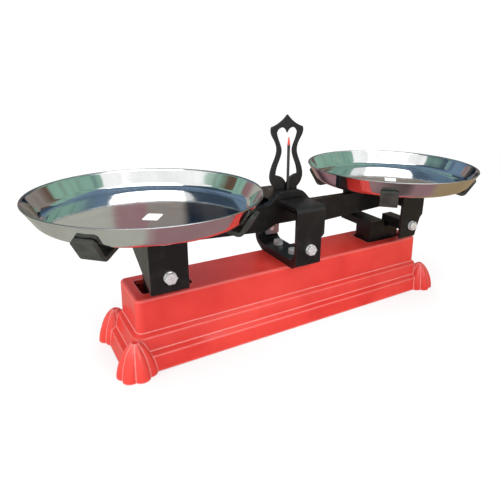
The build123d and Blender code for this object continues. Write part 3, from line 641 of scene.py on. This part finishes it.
def room_paint(name, axis, stops, streaks, second, amount):
    """Glow whose colour changes along an axis at the stops, with streaks of a second colour."""
    shade = Shade(name, 1.0)
    place = shade.ramp(shade.along(axis), -ROOM_HALF, ROOM_HALF)
    bands = shade.node("ShaderNodeValToRGB")
    shade.link(place, bands.inputs["Fac"])
    while len(bands.color_ramp.elements) < len(stops):
        bands.color_ramp.elements.new(1.0)
    for element, (at, colour) in zip(bands.color_ramp.elements, stops):
        element.position = (at + ROOM_HALF) / (2 * ROOM_HALF)
        element.color = colour
    patches = shade.ramp(shade.noise(2.5, stretch=streaks), low=0.48, high=0.66, top=amount)
    glow = shade.node("ShaderNodeEmission")
    shade.link(shade.colour(patches, bands.outputs["Color"], second), glow.inputs["Color"])
    shade.surface(glow.outputs["Emission"])
    return shade.material


def room_card(name, corners, paint):
    """Flat card of the room, which only glossy rays see."""
    def build(work):
        work.faces.new([work.verts.new(corner) for corner in corners])

    card = new_mesh(name, build)
    card.data.materials.append(paint)
    for kind in ("camera", "diffuse", "transmission", "volume_scatter", "shadow"):
        setattr(card, "visible_" + kind, False)


def make_room():
    """Room of painted reflections in the colours that the polished pans show: walls, ceiling,
    skylight and table.
    """
    near, far, split, top, sky = -ROOM_HALF, ROOM_HALF, ROOM_SPLIT, ROOM_TOP, SKYLIGHT_HEIGHT
    even = (1.0, 1.0, 1.0)
    upright = (1.0, 1.0, 0.2)
    level = (0.5, 1.0, 3.0)
    # Name, axis of the stops, scale of the streaks, their colour and amount, corners, stops
    cards = [
        ("room_back_low", "X", upright, TAUPE, 0.25,
         [(near, far, 0), (far, far, 0), (far, far, split), (near, far, split)],
         [(-2.2, OLIVE), (-0.9, ROSE), (-0.5, BEIGE), (0.24, BEIGE), (0.27, ROSE), (0.43, ROSE),
          (0.46, TAUPE), (0.66, TAUPE), (0.70, NAVY), (1.40, NAVY), (1.50, TAUPE)]),
        ("room_back_high", "X", upright, SLATE_DARK, 0.5,
         [(near, far, split), (far, far, split), (far, far, top), (near, far, top)],
         [(-1.4, TEAL), (-0.8, SLATE), (0.5, SLATE), (1.1, SLATE_DARK), (1.7, SLATE_DARK),
          (2.0, UMBER)]),
        ("room_right", "Y", level, OLIVE, 0.45,
         [(far, near, 0), (far, far, 0), (far, far, top), (far, near, top)],
         [(-2.2, TEAL_PALE), (-1.0, TEAL), (0.7, TEAL), (0.9, UMBER), (1.6, TAUPE)]),
        ("room_left", "Y", level, OLIVE, 0.45,
         [(near, near, 0), (near, far, 0), (near, far, top), (near, near, top)],
         [(-2.2, TEAL_PALE), (0.2, TEAL_PALE), (1.0, TEAL), (1.5, UMBER)]),
        ("room_top", "X", even, SLATE_DARK, 0.5,
         [(near, near, top), (far, near, top), (far, far, top), (near, far, top)],
         [(-1.6, TEAL), (-1.25, SLATE_DARK), (-0.65, SLATE_DARK), (-0.25, SLATE), (0.8, SLATE),
          (1.2, TEAL)]),
        ("skylight", "X", even, WHITE, 0.5,
         [(1.10, near, sky), (1.10, -0.60, sky), (0.68, -0.24, sky), (0.0, -0.10, sky),
          (-0.78, 0.24, sky), (-1.60, 0.75, sky), (near, 0.75, sky), (near, near, sky)],
         [(near, SKY_WHITE), (far, SKY_WHITE)]),
        ("table_top", "X", even, TAUPE, 0.3,
         [(-1.2, -0.6, TABLE_HEIGHT), (1.2, -0.6, TABLE_HEIGHT), (1.2, 1.2, TABLE_HEIGHT),
          (-1.2, 1.2, TABLE_HEIGHT)],
         [(-0.22, BEIGE), (-0.20, ROSE), (0.02, ROSE), (0.06, PLUM), (0.11, PLUM), (0.14, ROSE),
          (0.21, ROSE), (0.24, SAND)]),
    ]
    for name, axis, streaks, second, amount, corners, stops in cards:
        room_card(name, corners, room_paint(name + "_paint", axis, stops, streaks, second, amount))


# Name, place, size, power in watts, and whether shiny surfaces see the lamp
LAMP_AIM = (0, 0, 0.1)
LAMPS = [
    ("key", (0.15, -1.7, 1.2), (1.4, 0.9), 14.0, True),
    ("top", (-0.2, -0.4, 1.7), (1.4, 1.0), 13.0, True),
    ("left", (-1.7, -0.3, 0.7), (0.8, 0.8), 17.0, False),
    ("back", (0.5, 1.6, 1.0), (0.9, 0.9), 14.0, False),
]


def area_lamp(name, place, size, power, shine):
    data = bpy.data.lights.new(name, "AREA")
    data.shape = "RECTANGLE"
    data.size, data.size_y = size
    data.energy = power
    lamp = bpy.data.objects.new(name, data)
    lamp.location = place
    lamp.visible_glossy = shine
    lamp.rotation_euler = (Vector(LAMP_AIM) - Vector(place)).to_track_quat("-Z", "Y").to_euler()
    bpy.context.scene.collection.objects.link(lamp)


def set_camera():
    """Camera at the photograph's viewing angle and framing."""
    back = Vector((
        -math.sin(CAMERA_AZIMUTH) * math.cos(CAMERA_ELEVATION),
        -math.cos(CAMERA_AZIMUTH) * math.cos(CAMERA_ELEVATION),
        math.sin(CAMERA_ELEVATION),
    ))
    right = Vector((math.cos(CAMERA_AZIMUTH), -math.sin(CAMERA_AZIMUTH), 0.0))
    up = back.cross(right)
    across = right * math.cos(CAMERA_ROLL) + up * math.sin(CAMERA_ROLL)
    upright = -right * math.sin(CAMERA_ROLL) + up * math.cos(CAMERA_ROLL)
    data = bpy.data.cameras.new("camera")
    data.sensor_fit = "HORIZONTAL"
    data.sensor_width = SENSOR_WIDTH
    data.lens = data.sensor_width * FOCAL_PIXELS / IMAGE_SIZE
    data.shift_x = 0.5 - PRINCIPAL_POINT[0] / IMAGE_SIZE
    data.shift_y = PRINCIPAL_POINT[1] / IMAGE_SIZE - 0.5
    data.clip_start = CLIP_START
    camera = bpy.data.objects.new("camera", data)
    matrix = Matrix((across, upright, back)).transposed().to_4x4()
    matrix.translation = CAMERA_TARGET + back * CAMERA_DISTANCE
    camera.matrix_world = matrix
    bpy.context.scene.collection.objects.link(camera)
    bpy.context.scene.camera = camera


make_floor()
set_world()
make_room()
for lamp in LAMPS:
    area_lamp(*lamp)
set_camera()
bpy.context.scene.view_settings.view_transform = "Standard"
